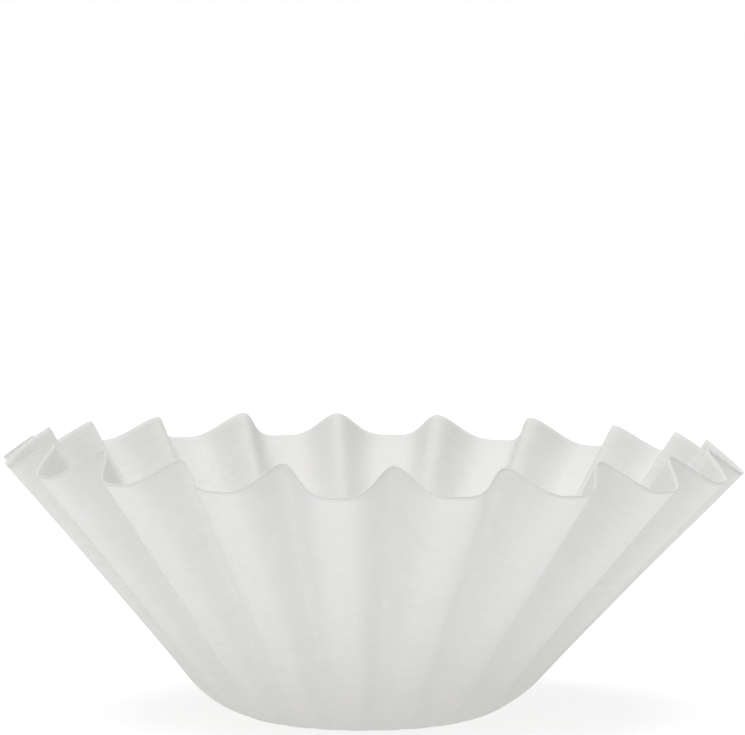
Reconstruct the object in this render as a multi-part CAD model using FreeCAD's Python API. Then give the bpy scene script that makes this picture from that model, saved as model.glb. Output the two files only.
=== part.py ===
# Paper coffee filter: a fluted, flat-bottomed cup pressed from one round sheet of crepe paper.
# Lengths are in millimetres and angles in degrees. The origin is the centre of the underside
# of the flat base, +Z points up out of the cup, and -Y is the front.
# An azimuth is counted about +Z from the front towards +X.

import FreeCAD, Part

import math
import os

from FreeCAD import Vector

DIMENSIONS = (
    ("blank_radius", "104.8", "radius of the round sheet before it is pressed"),
    ("paper_thickness", "0.15", "thickness of the sheet"),
    ("flat_radius", "17.4", "radius of the flat disc that the cup stands on"),
    ("bend_radius", "27.1", "radius of the bend between the disc and the wall"),
    ("wall_angle", "51.2", "rise of the middle of the flutes above the level"),
    ("wall_lean", "2", "how much steeper the wall is on the left, and flatter on the right"),
    ("flute_count", "20", "flutes around the cup"),
    ("flute_depth", "9.4", "depth of a flute at the rim, from crest to fold"),
    ("flute_growth", "1.5", "power with which the flutes deepen from the disc to the rim"),
    ("crest_breadth", "2", "1 for crests and folds alike, more for broad crests and tight folds"),
    ("flute_unevenness", "0.08", "share by which the depth differs from flute to flute"),
    ("first_fold_azimuth", "4.9", "azimuth of the fold nearest the front"),
    ("press_offset", "1.2", "how far off the sheet's centre the disc was pressed"),
    ("high_side_azimuth", "8", "azimuth at which the wall is longest"),
)
SHEET_NODE = "filter_paper"

# The facets that make up the paper's faces, and the step by which their slopes are found
COLUMNS_PER_FLUTE = 14
BEND_STATIONS = 4
WALL_STATIONS = 3
SLOPE_STEP = 1e-4

# The flutes' depth rises and falls this many times around the cup
UNEVEN_WAVES = 7


def fill_spreadsheet(doc):
    """Writes the driving dimensions, one row each: the name, the value and what it is."""
    sheet = doc.addObject("Spreadsheet::Sheet", "dimensions")
    for row, (alias, value, meaning) in enumerate(DIMENSIONS, start=1):
        sheet.set(f"A{row}", alias)
        sheet.set(f"B{row}", value)
        sheet.set(f"C{row}", meaning)
        sheet.setAlias(f"B{row}", alias)
    doc.recompute()
    return sheet


class PressedSheet:
    """The middle surface of the pressed sheet, as a formula of a flute and a station.

    A flute is a count from 0 around the cup: whole at a crest, and a half more in a fold.
    A station runs from 0 at the edge of the flat disc, over 1 at the top of the bend, to 2 at
    the rim. The paper isn't stretched along its radii: each of them keeps its own length over
    the disc, the bend and the wall. What the sheet is too wide for the cup goes into the flutes.
    """

    def __init__(self, sheet):
        size = {alias: float(sheet.get(alias)) for alias, _, _ in DIMENSIONS}
        self.blank_radius = size["blank_radius"]
        self.thickness = size["paper_thickness"]
        self.flat_radius = size["flat_radius"]
        self.bend_radius = size["bend_radius"]
        self.wall_angle = math.radians(size["wall_angle"])
        self.wall_lean = math.radians(size["wall_lean"])
        self.flute_count = round(size["flute_count"])
        self.half_depth = size["flute_depth"] / 2
        self.flute_growth = size["flute_growth"]
        self.crest_breadth = size["crest_breadth"]
        self.flute_unevenness = size["flute_unevenness"]
        self.first_fold = math.radians(size["first_fold_azimuth"])
        self.press_offset = size["press_offset"]
        self.high_side = math.radians(size["high_side_azimuth"])

    def wave(self, flute):
        """How far the paper stands out: 1 on a crest and -1 in a fold, or about so."""
        foldness = (1 - math.cos(2 * math.pi * flute)) / 2
        uneven = 1 + self.flute_unevenness * math.cos(
            2 * math.pi * UNEVEN_WAVES * flute / self.flute_count
        )
        return uneven * (1 - 2 * foldness**self.crest_breadth)

    def azimuth(self, flute):
        """The azimuth of a place among the flutes."""
        return self.first_fold + 2 * math.pi * (flute - 0.5) / self.flute_count

    def point(self, flute, station):
        """A point of the middle surface."""
        azimuth = self.azimuth(flute)
        slope = self.wall_angle - self.wall_lean * math.sin(azimuth)
        reach = self.blank_radius + self.press_offset * math.cos(azimuth - self.high_side)
        bend_length = self.bend_radius * slope
        wall_length = reach - self.flat_radius - bend_length
        bend_share = min(station, 1)
        wall_share = max(station - 1, 0)

        turn = slope * bend_share
        along_wall = wall_length * wall_share
        radius = self.flat_radius + self.bend_radius * math.sin(turn) + along_wall * math.cos(turn)
        height = self.bend_radius * (1 - math.cos(turn)) + along_wall * math.sin(turn)

        climbed = (bend_length * bend_share + along_wall) / (reach - self.flat_radius)
        stand_out = self.half_depth * climbed**self.flute_growth * self.wave(flute)
        radius += stand_out * math.sin(turn)
        height -= stand_out * math.cos(turn)
        return Vector(
            radius * math.sin(azimuth), -radius * math.cos(azimuth), height + self.thickness / 2
        )

    def outward(self, flute, station):
        """The unit normal of the middle surface, out of the cup."""
        if station == 0:
            return Vector(0, 0, -1)
        around = self.point(flute + SLOPE_STEP, station) - self.point(flute - SLOPE_STEP, station)
        upward = self.point(flute, station) - self.point(flute, station - SLOPE_STEP)
        return around.cross(upward).normalize()

    def face_point(self, flute, station, side):
        """A point of the paper's outer face, for a side of 1, or of its inner face, for -1."""
        offset = self.outward(flute, station) * (side * self.thickness / 2)
        return self.point(flute, station) + offset


def make_facet(*corners):
    """A flat face between the corners."""
    return Part.Face(Part.makePolygon([*corners, corners[0]]))


def make_band(lower, upper, slants):
    """The facets between two rings of points, two for each column.

    A slant tells which corners of the column are joined: both faces of the paper have the
    same one, so that the facets of the two lie a paper's thickness apart.
    """
    facets = []
    ahead = zip(lower[1:] + lower[:1], upper[1:] + upper[:1])
    for low, high, (next_low, next_high), slant in zip(lower, upper, ahead, slants):
        if slant:
            facets += [make_facet(low, next_low, next_high), make_facet(low, next_high, high)]
        else:
            facets += [make_facet(low, next_low, high), make_facet(next_low, next_high, high)]
    return facets


def make_pressed_paper(paper):
    """The whole sheet as one solid: the outer and inner faces, their discs and the cut edge."""
    columns = [i / COLUMNS_PER_FLUTE for i in range(paper.flute_count * COLUMNS_PER_FLUTE)]
    slants = [flute % 1 < 0.5 for flute in columns]
    stations = [i / BEND_STATIONS for i in range(BEND_STATIONS)]
    stations += [1 + i / WALL_STATIONS for i in range(WALL_STATIONS + 1)]
    facets = []
    rims = []
    for side in (1, -1):
        rings = [[paper.face_point(flute, station, side) for flute in columns] for station in stations]
        facets.append(make_facet(*rings[0]))
        for lower, upper in zip(rings, rings[1:]):
            facets += make_band(lower, upper, slants)
        rims.append(rings[-1])
    facets += make_band(*rims, slants)
    skin = Part.makeShell(facets)
    skin.sewShape()
    solid = Part.Solid(skin)
    if solid.Volume < 0:
        solid.reverse()
    return solid


def add_filter_paper(doc, sheet):
    """The only piece: the pressed sheet, on its flat disc at the origin."""
    paper = PressedSheet(sheet)
    node = doc.addObject("Part::Feature", SHEET_NODE)
    node.Label = SHEET_NODE
    node.Shape = make_pressed_paper(paper)
    node.Placement = FreeCAD.Placement(Vector(0, 0, 0), FreeCAD.Rotation(0, 0, 0))
    return node


def check_model(doc, nodes):
    """Stops the macro if an object failed, or a piece isn't one valid closed solid."""
    for item in doc.Objects:
        if "Invalid" in item.State or "Error" in item.State:
            raise RuntimeError(f"{item.Label} failed: {item.State}")
    for node in nodes:
        shape = node.Shape
        if shape.isNull() or not shape.isValid() or not shape.isClosed() or len(shape.Solids) != 1:
            raise RuntimeError(f"{node.Label} isn't one valid closed solid")


def main():
    doc = FreeCAD.newDocument("coffee_filter")
    sheet = fill_spreadsheet(doc)
    nodes = [add_filter_paper(doc, sheet)]
    doc.recompute()
    check_model(doc, nodes)
    os.makedirs("parts", exist_ok=True)
    for node in nodes:
        node.Shape.exportStep(f"parts/{node.Label}.step")
        box = node.Shape.BoundBox
        print(f"{node.Label}: {box.XLength:.2f} x {box.YLength:.2f} x {box.ZLength:.2f} mm,")
        print(f"  from Z {box.ZMin:.3f}, volume {node.Shape.Volume:.1f} mm3, area {node.Shape.Area:.0f} mm2")


main()
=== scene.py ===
"""A fluted basket coffee filter of white crepe paper, standing on a pale studio floor.

Everything is in metres. An azimuth is counted about +Z from the front, -Y, towards +X.
"""

import logging
import math
from dataclasses import dataclass, field
from enum import Enum

import bmesh
import bpy
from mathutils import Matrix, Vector, noise


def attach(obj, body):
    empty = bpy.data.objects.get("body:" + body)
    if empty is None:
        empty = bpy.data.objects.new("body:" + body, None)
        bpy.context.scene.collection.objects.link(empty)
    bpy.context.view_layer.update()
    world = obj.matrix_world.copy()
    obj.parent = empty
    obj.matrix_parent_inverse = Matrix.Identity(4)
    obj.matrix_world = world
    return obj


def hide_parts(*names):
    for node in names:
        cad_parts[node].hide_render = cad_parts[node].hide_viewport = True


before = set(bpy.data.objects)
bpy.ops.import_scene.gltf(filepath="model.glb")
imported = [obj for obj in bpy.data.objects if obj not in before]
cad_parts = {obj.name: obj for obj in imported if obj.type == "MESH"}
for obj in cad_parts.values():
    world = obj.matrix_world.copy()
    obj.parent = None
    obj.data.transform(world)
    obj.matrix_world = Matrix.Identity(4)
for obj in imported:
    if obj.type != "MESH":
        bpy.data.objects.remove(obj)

logging.basicConfig(level=logging.INFO, format="%(name)s: %(message)s")
log = logging.getLogger("coffee_filter")

MM = 0.001


class Zone(Enum):
    """The parts of a radius of the pressed sheet."""

    DISC = "flat disc"
    BEND = "bend"
    WALL = "fluted wall"


@dataclass(frozen=True)
class FlutedMould:
    """The mould that the round sheet is pressed in, with the same sizes as the CAD part."""

    blank_radius: float = 104.8 * MM
    thickness: float = 0.15 * MM
    flat_radius: float = 17.4 * MM
    bend_radius: float = 27.1 * MM
    wall_angle: float = math.radians(51.2)
    wall_lean: float = math.radians(2)
    flute_count: int = 20
    flute_depth: float = 9.4 * MM
    flute_growth: float = 1.5
    crest_breadth: float = 2.0
    flute_unevenness: float = 0.08
    uneven_waves: int = 7
    first_fold: float = math.radians(4.9)
    press_offset: float = 1.2 * MM
    high_side: float = math.radians(8)

    @property
    def disc_share(self) -> float:
        """The flat disc's radius as a share of the sheet's."""
        return self.flat_radius / self.blank_radius

    def azimuth(self, flute: float) -> float:
        """Where a place among the flutes lies around the cup.

        Args:
            flute: A count from 0, whole at a crest and a half more in a fold.

        Returns:
            The azimuth in radians.
        """
        return self.first_fold + 2 * math.pi * (flute - 0.5) / self.flute_count

    def wave(self, flute: float) -> float:
        """How far the paper stands out, about 1 on a crest and -1 in a fold."""
        foldness = (1 - math.cos(2 * math.pi * flute)) / 2
        uneven = 1 + self.flute_unevenness * math.cos(
            2 * math.pi * self.uneven_waves * flute / self.flute_count
        )
        return uneven * (1 - 2 * foldness**self.crest_breadth)

    def reach(self, azimuth: float) -> float:
        """The length of the paper's radius at an azimuth, from the disc's centre to the rim."""
        return self.blank_radius + self.press_offset * math.cos(azimuth - self.high_side)

    def zone(self, travelled: float, slope: float) -> Zone:
        """The part of the sheet at a distance from the centre, measured on the paper."""
        if travelled <= self.flat_radius:
            return Zone.DISC
        if travelled <= self.flat_radius + self.bend_radius * slope:
            return Zone.BEND
        return Zone.WALL

    def press(self, flute: float, share: float) -> Vector:
        """Where the mould puts a point of the flat sheet.

        The paper keeps its length along each radius, and stands out at right angles to the
        smooth cup to make the flutes.

        Args:
            flute: The point's place around the sheet, as a count of flutes.
            share: Its distance from the centre, as a share of the sheet's radius there.

        Returns:
            The point in the pressed sheet's middle surface.
        """
        azimuth = self.azimuth(flute)
        slope = self.wall_angle - self.wall_lean * math.sin(azimuth)
        reach = self.reach(azimuth)
        travelled = share * reach
        zone = self.zone(travelled, slope)
        if zone is Zone.DISC:
            radius, height, turn, climbed = travelled, 0.0, 0.0, 0.0
        else:
            past_disc = travelled - self.flat_radius
            turn = slope if zone is Zone.WALL else past_disc / self.bend_radius
            along_wall = past_disc - self.bend_radius * turn
            radius = self.flat_radius + self.bend_radius * math.sin(turn) + along_wall * math.cos(turn)
            height = self.bend_radius * (1 - math.cos(turn)) + along_wall * math.sin(turn)
            climbed = past_disc / (reach - self.flat_radius)
        stand_out = self.flute_depth / 2 * climbed**self.flute_growth * self.wave(flute)
        radius += stand_out * math.sin(turn)
        height -= stand_out * math.cos(turn)
        return Vector(
            (radius * math.sin(azimuth), -radius * math.cos(azimuth), height + self.thickness / 2)
        )


@dataclass(frozen=True)
class CrepePaper:
    """Bleached crepe filter paper: matt, thin enough to glow, with fine ridges around the cup."""

    # Two tones for random cloudy mottle and for painted shade: the crepe's valleys are coloured darker
    # than its ridges.
    pale_mottle_and_ridge_color: tuple = (0.850, 0.848, 0.835)
    dark_mottle_and_valley_shade_color: tuple = (0.820, 0.816, 0.798)
    valley_shade_share: float = 0.7
    shade_and_mottle_range: tuple = (0.35, 0.65)
    roughness: float = 0.92
    specular: float = 0.25
    glow: float = 0.2
    glow_radius: tuple = (1.0, 0.85, 0.62)
    glow_scale: float = 0.5 * MM
    ridge_pitch: float = 0.62 * MM
    ridge_length: float = 3.0 * MM
    ridge_detail: float = 3.0
    ridge_relief: float = 0.09 * MM
    cloud_size: float = 7.0 * MM
    cloud_detail: float = 4.0
    fibre_size: float = 0.35 * MM
    fibre_detail: float = 2.0
    fibre_relief: float = 0.02 * MM

    def build(self, name: str, place: str) -> bpy.types.Material:
        """The paper's material.

        Args:
            name: The material's name.
            place: The vector attribute that holds each point's place on the sheet.

        Returns:
            A node material of one Principled shader.
        """
        material = bpy.data.materials.new(name)
        material.use_nodes = True
        nodes, links = material.node_tree.nodes, material.node_tree.links
        shader = nodes["Principled BSDF"]
        shader.inputs["Roughness"].default_value = self.roughness
        shader.inputs["Specular IOR Level"].default_value = self.specular
        shader.inputs["Subsurface Weight"].default_value = self.glow
        shader.inputs["Subsurface Radius"].default_value = self.glow_radius
        shader.inputs["Subsurface Scale"].default_value = self.glow_scale

        sheet = nodes.new("ShaderNodeAttribute")
        sheet.attribute_name = place
        ridge_grain = (self.ridge_length, self.ridge_length, self.ridge_pitch)
        ridges = self._noise(nodes, links, sheet, ridge_grain, self.ridge_detail)
        clouds = self._noise(nodes, links, sheet, (self.cloud_size,) * 3, self.cloud_detail)
        fibres = self._noise(nodes, links, sheet, (self.fibre_size,) * 3, self.fibre_detail)

        # The tone follows random clouds and, more strongly, the crepe ridges. It paints shade into the
        # valleys between the ridges, where shade falls.
        mottle_and_valley_shade = nodes.new("ShaderNodeMix")
        mottle_and_valley_shade.inputs["Factor"].default_value = self.valley_shade_share
        links.new(clouds, mottle_and_valley_shade.inputs["A"])
        links.new(ridges, mottle_and_valley_shade.inputs["B"])
        spread = nodes.new("ShaderNodeMapRange")
        spread.inputs["From Min"].default_value = self.shade_and_mottle_range[0]
        spread.inputs["From Max"].default_value = self.shade_and_mottle_range[1]
        links.new(mottle_and_valley_shade.outputs["Result"], spread.inputs["Value"])
        tone_and_valley_shade = nodes.new("ShaderNodeMix")
        tone_and_valley_shade.data_type = "RGBA"
        tone_and_valley_shade.inputs["A"].default_value = (*self.dark_mottle_and_valley_shade_color, 1)
        tone_and_valley_shade.inputs["B"].default_value = (*self.pale_mottle_and_ridge_color, 1)
        links.new(spread.outputs["Result"], tone_and_valley_shade.inputs["Factor"])
        links.new(tone_and_valley_shade.outputs["Result"], shader.inputs["Base Color"])

        ridge_bump = self._bump(nodes, links, ridges, self.ridge_relief)
        fibre_bump = self._bump(nodes, links, fibres, self.fibre_relief)
        links.new(ridge_bump.outputs["Normal"], fibre_bump.inputs["Normal"])
        links.new(fibre_bump.outputs["Normal"], shader.inputs["Normal"])
        return material

    @staticmethod
    def _noise(
        nodes: bpy.types.Nodes,
        links: bpy.types.NodeLinks,
        sheet: bpy.types.Node,
        grain_size: tuple,
        detail: float,
    ) -> bpy.types.NodeSocket:
        """Noise on the sheet, with a grain of that size in metres in each direction."""
        stretch = nodes.new("ShaderNodeVectorMath")
        stretch.operation = "MULTIPLY"
        stretch.inputs[1].default_value = tuple(1 / size for size in grain_size)
        grain = nodes.new("ShaderNodeTexNoise")
        grain.inputs["Scale"].default_value = 1.0
        grain.inputs["Detail"].default_value = detail
        links.new(sheet.outputs["Vector"], stretch.inputs[0])
        links.new(stretch.outputs["Vector"], grain.inputs["Vector"])
        return grain.outputs["Fac"]

    @staticmethod
    def _bump(
        nodes: bpy.types.Nodes, links: bpy.types.NodeLinks, height: bpy.types.NodeSocket, relief: float
    ) -> bpy.types.Node:
        """A Bump node for a relief of that height in metres."""
        bump = nodes.new("ShaderNodeBump")
        bump.inputs["Distance"].default_value = relief
        links.new(height, bump.inputs["Height"])
        return bump


@dataclass
class FilterPaper:
    """The one piece of the filter: a round sheet of crepe paper, pressed into a fluted cup.

    The flat blank has a radius of 1 until it is pressed, and the merge distance is on it.
    """

    mould: FlutedMould = field(default_factory=FlutedMould)
    finish: CrepePaper = field(default_factory=CrepePaper)
    columns_per_flute: int = 22
    disc_rings: int = 6
    pressed_rings: int = 78
    merge_distance: float = 1e-5
    buckle: float = 0.22 * MM
    buckle_size: float = 17 * MM
    buckle_seed: int = 3
    pattern_radius: float = 60 * MM
    place: str = "place_on_sheet"

    def build(self) -> bpy.types.Object:
        """Cuts the blank, presses it, gives it its thickness and its finish.

        Returns:
            The finished piece, which stands for the CAD node.
        """
        mesh = bpy.data.meshes.new("crepe_paper_cup")
        bm = bmesh.new()
        self._cut_blank(bm)
        self._press(bm)
        bmesh.ops.recalc_face_normals(bm, faces=bm.faces)
        for face in bm.faces:
            face.smooth = True
        bm.to_mesh(mesh)
        bm.free()
        mesh.materials.append(self.finish.build("crepe_paper", self.place))

        piece = bpy.data.objects.new("crepe_paper_cup", mesh)
        bpy.context.collection.objects.link(piece)
        solidify = piece.modifiers.new("paper_thickness", "SOLIDIFY")
        solidify.thickness = self.mould.thickness
        solidify.offset = 0
        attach(piece, "root")
        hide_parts("filter_paper")
        return piece

    def _cut_blank(self, bm: bmesh.types.BMesh) -> None:
        """Spins a radius of the flat sheet into the round blank."""
        disc_share = self.mould.disc_share
        inner = [disc_share * i / self.disc_rings for i in range(self.disc_rings)]
        outer = [
            disc_share + (1 - disc_share) * i / self.pressed_rings for i in range(self.pressed_rings + 1)
        ]
        radius = [bm.verts.new((share, 0, 0)) for share in inner + outer]
        edges = [bm.edges.new(pair) for pair in zip(radius, radius[1:])]
        bmesh.ops.spin(
            bm,
            geom=radius + edges,
            cent=(0, 0, 0),
            axis=(0, 0, 1),
            angle=2 * math.pi,
            steps=self.mould.flute_count * self.columns_per_flute,
            use_merge=True,
            use_duplicate=False,
        )
        bmesh.ops.remove_doubles(bm, verts=bm.verts, dist=self.merge_distance)

    def _press(self, bm: bmesh.types.BMesh) -> None:
        """Moves each point of the blank into the mould, and notes its place on the sheet.

        The places lie on a cylinder: around it as around the sheet, and up it as far as the
        point is from the sheet's centre. The crepe's ridges follow from them.
        """
        noise.seed_set(self.buckle_seed)
        place = bm.verts.layers.float_vector.new(self.place)
        for vert in bm.verts:
            share = vert.co.length
            flute = math.atan2(vert.co.y, vert.co.x) / (2 * math.pi) * self.mould.flute_count
            azimuth = self.mould.azimuth(flute)
            vert[place] = (
                self.pattern_radius * math.sin(azimuth),
                self.pattern_radius * math.cos(azimuth),
                share * self.mould.blank_radius,
            )
            pressed = self.mould.press(flute, share)
            vert.co = pressed + self._buckle(pressed, share)

    def _buckle(self, point: Vector, share: float) -> Vector:
        """The small soft buckles of the wall, which fade out towards the flat disc."""
        disc_share = self.mould.disc_share
        fade = max(share - disc_share, 0) / (1 - disc_share)
        return noise.noise_vector(point / self.buckle_size) * (self.buckle * fade)


@dataclass
class Studio:
    """A pale floor, an even white surround and two large soft lamps.

    The floor glows a little onto the filter. A lift whitens the floor to the camera alone: it
    is near_lift up to lift_start from the filter's middle, and rises to far_lift at lift_end.
    """

    floor_radius: float = 6.0
    floor_sides: int = 96
    floor_color: tuple = (0.70, 0.70, 0.70)
    floor_glow: float = 0.36
    near_lift: float = 0.56
    far_lift: float = 0.80
    lift_start: float = 0.1
    lift_end: float = 1.0
    surround: float = 0.375
    shown_surround: float = 1.0
    top_place: tuple = (-0.08, -0.2, 1.2)
    top_size: float = 1.2
    top_power: float = 10.4
    front_place: tuple = (-0.9, -1.5, 0.2)
    front_size: float = 1.0
    front_power: float = 1.9

    def build(self) -> None:
        """Lays the floor, sets the surround and hangs the lamps."""
        self._lay_floor()
        self._set_surround()
        self._hang_lamp("top_lamp", self.top_place, self.top_size, self.top_power)
        self._hang_lamp("front_lamp", self.front_place, self.front_size, self.front_power)

    def _lay_floor(self) -> None:
        """A round matt floor, which shows as white and keeps the filter's soft shadow."""
        mesh = bpy.data.meshes.new("studio_floor")
        bm = bmesh.new()
        bmesh.ops.create_circle(
            bm, cap_ends=True, segments=self.floor_sides, radius=self.floor_radius
        )
        bm.to_mesh(mesh)
        bm.free()
        material = bpy.data.materials.new("white_floor")
        material.use_nodes = True
        nodes, links = material.node_tree.nodes, material.node_tree.links
        shader = nodes["Principled BSDF"]
        shader.inputs["Base Color"].default_value = (*self.floor_color, 1)
        shader.inputs["Roughness"].default_value = 1.0
        shader.inputs["Specular IOR Level"].default_value = 0.0
        shader.inputs["Emission Color"].default_value = (1, 1, 1, 1)
        path = nodes.new("ShaderNodeLightPath")
        level = nodes.new("ShaderNodeMapRange")
        level.inputs["To Min"].default_value = self.floor_glow
        links.new(self._lift(nodes, links), level.inputs["To Max"])
        links.new(path.outputs["Is Camera Ray"], level.inputs["Value"])
        links.new(level.outputs["Result"], shader.inputs["Emission Strength"])
        mesh.materials.append(material)
        floor = bpy.data.objects.new("studio_floor", mesh)
        bpy.context.collection.objects.link(floor)

    def _lift(self, nodes: bpy.types.Nodes, links: bpy.types.NodeLinks) -> bpy.types.NodeSocket:
        """The light that whitens the floor to the camera: less near the filter, for its shadow."""
        place = nodes.new("ShaderNodeTexCoord")
        distance = nodes.new("ShaderNodeVectorMath")
        distance.operation = "LENGTH"
        lift = nodes.new("ShaderNodeMapRange")
        lift.inputs["From Min"].default_value = self.lift_start
        lift.inputs["From Max"].default_value = self.lift_end
        lift.inputs["To Min"].default_value = self.near_lift
        lift.inputs["To Max"].default_value = self.far_lift
        links.new(place.outputs["Object"], distance.inputs[0])
        links.new(distance.outputs["Value"], lift.inputs["Value"])
        return lift.outputs["Result"]

    def _set_surround(self) -> None:
        """Lights the filter evenly from all sides, and shows plain white to the camera."""
        world = bpy.data.worlds.new("white_surround")
        bpy.context.scene.world = world
        world.use_nodes = True
        nodes, links = world.node_tree.nodes, world.node_tree.links
        background = nodes["Background"]
        background.inputs["Color"].default_value = (1, 1, 1, 1)
        path = nodes.new("ShaderNodeLightPath")
        seen = path.outputs["Is Camera Ray"]
        for other in ("Is Glossy Ray", "Is Transmission Ray"):
            either = nodes.new("ShaderNodeMath")
            either.operation = "MAXIMUM"
            links.new(seen, either.inputs[0])
            links.new(path.outputs[other], either.inputs[1])
            seen = either.outputs["Value"]
        level = nodes.new("ShaderNodeMapRange")
        level.inputs["To Min"].default_value = self.surround
        level.inputs["To Max"].default_value = self.shown_surround
        links.new(seen, level.inputs["Value"])
        links.new(level.outputs["Result"], background.inputs["Strength"])

    @staticmethod
    def _hang_lamp(name: str, place: tuple, size: float, power: float) -> None:
        """Hangs a square soft lamp that faces the filter."""
        lamp = bpy.data.lights.new(name, "AREA")
        lamp.size = size
        lamp.energy = power
        holder = bpy.data.objects.new(name, lamp)
        holder.location = place
        holder.rotation_euler = (-Vector(place)).to_track_quat("-Z", "Y").to_euler()
        bpy.context.collection.objects.link(holder)


@dataclass
class PhotoCamera:
    """The photograph's camera: far off, a little above the rim, with the filter low in its view.

    The base pixel is where the middle of the filter's base lies in the picture.
    """

    image_width: int = 745
    image_height: int = 735
    sensor_width: float = 36.0
    metres_per_pixel: float = 0.2211 * MM
    distance_in_pixels: float = 6000
    base_pixel: tuple = (364.6, 718.5)
    elevation: float = math.radians(4.5)
    view_depth: float = 50.0

    def build(self) -> bpy.types.Object:
        """Sets the camera up.

        Returns:
            The camera's object.
        """
        distance = self.distance_in_pixels * self.metres_per_pixel
        right = Vector((1, 0, 0))
        up = Vector((0, math.sin(self.elevation), math.cos(self.elevation)))
        back = Vector((0, -math.cos(self.elevation), math.sin(self.elevation)))
        beside = (self.image_width / 2 - self.base_pixel[0]) * self.metres_per_pixel
        above = (self.base_pixel[1] - self.image_height / 2) * self.metres_per_pixel
        data = bpy.data.cameras.new("photo_camera")
        data.sensor_width = self.sensor_width
        data.lens = self.distance_in_pixels / self.image_width * self.sensor_width
        data.clip_end = self.view_depth
        camera = bpy.data.objects.new("photo_camera", data)
        camera.location = right * beside + up * above + back * distance
        camera.rotation_euler = back.to_track_quat("Z", "Y").to_euler()
        bpy.context.collection.objects.link(camera)
        bpy.context.scene.camera = camera
        return camera


def main() -> None:
    """Builds the camera, the studio and the filter."""
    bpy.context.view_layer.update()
    camera = PhotoCamera().build()
    log.info("camera at %s", tuple(round(v, 3) for v in camera.location))
    Studio().build()
    log.info("studio floor, surround and lamps")
    piece = FilterPaper().build()
    log.info("%s with %d faces before its thickness", piece.name, len(piece.data.polygons))
    bpy.context.scene.view_settings.view_transform = "Standard"


if __name__ == "__main__":
    main()
